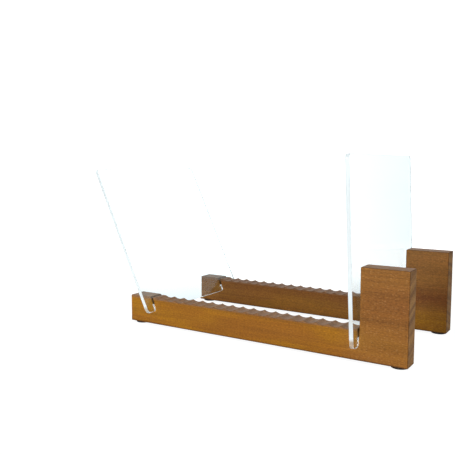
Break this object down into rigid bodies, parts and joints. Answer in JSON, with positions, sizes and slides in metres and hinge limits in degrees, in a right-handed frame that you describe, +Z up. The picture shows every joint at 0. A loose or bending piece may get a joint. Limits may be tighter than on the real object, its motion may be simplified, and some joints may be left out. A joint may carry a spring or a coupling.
{
  "type": "record storage stand",
  "caption": "Low desktop stand for a leaning row of records: two scalloped wooden rails with front posts, tied together by slotted clear end panels.",
  "frame": {"origin": "on the floor, under the middle of the whole stand's box", "axes": "+X to the front, the end with the posts; +Y to the right as seen from the front; +Z up"},
  "size_m": [0.3606, 0.183, 0.1905],
  "materials": {
    "wood": "satin stained hardwood",
    "clear_panel": "clear polished acrylic",
    "foot_rubber": "matt"
  },
  "bodies": {
    "root": {"left_side": "wood", "right_side": "wood", "left_front_foot": "foot_rubber", "left_rear_foot": "foot_rubber", "right_front_foot": "foot_rubber", "right_rear_foot": "foot_rubber"},
    "front_panel": {"front_panel": "clear_panel"},
    "rear_panel": {"rear_panel": "clear_panel"}
  },
  "joints": [
    {"name": "front_panel_lift", "type": "slide", "parent": "root", "child": "front_panel", "axis": [-0.0464, 0, 0.9989], "range_m": [0, 0.025]},
    {"name": "rear_panel_lift", "type": "slide", "parent": "root", "child": "rear_panel", "axis": [-0.4287, 0, 0.9034], "range_m": [0, 0.025]}
  ]
}
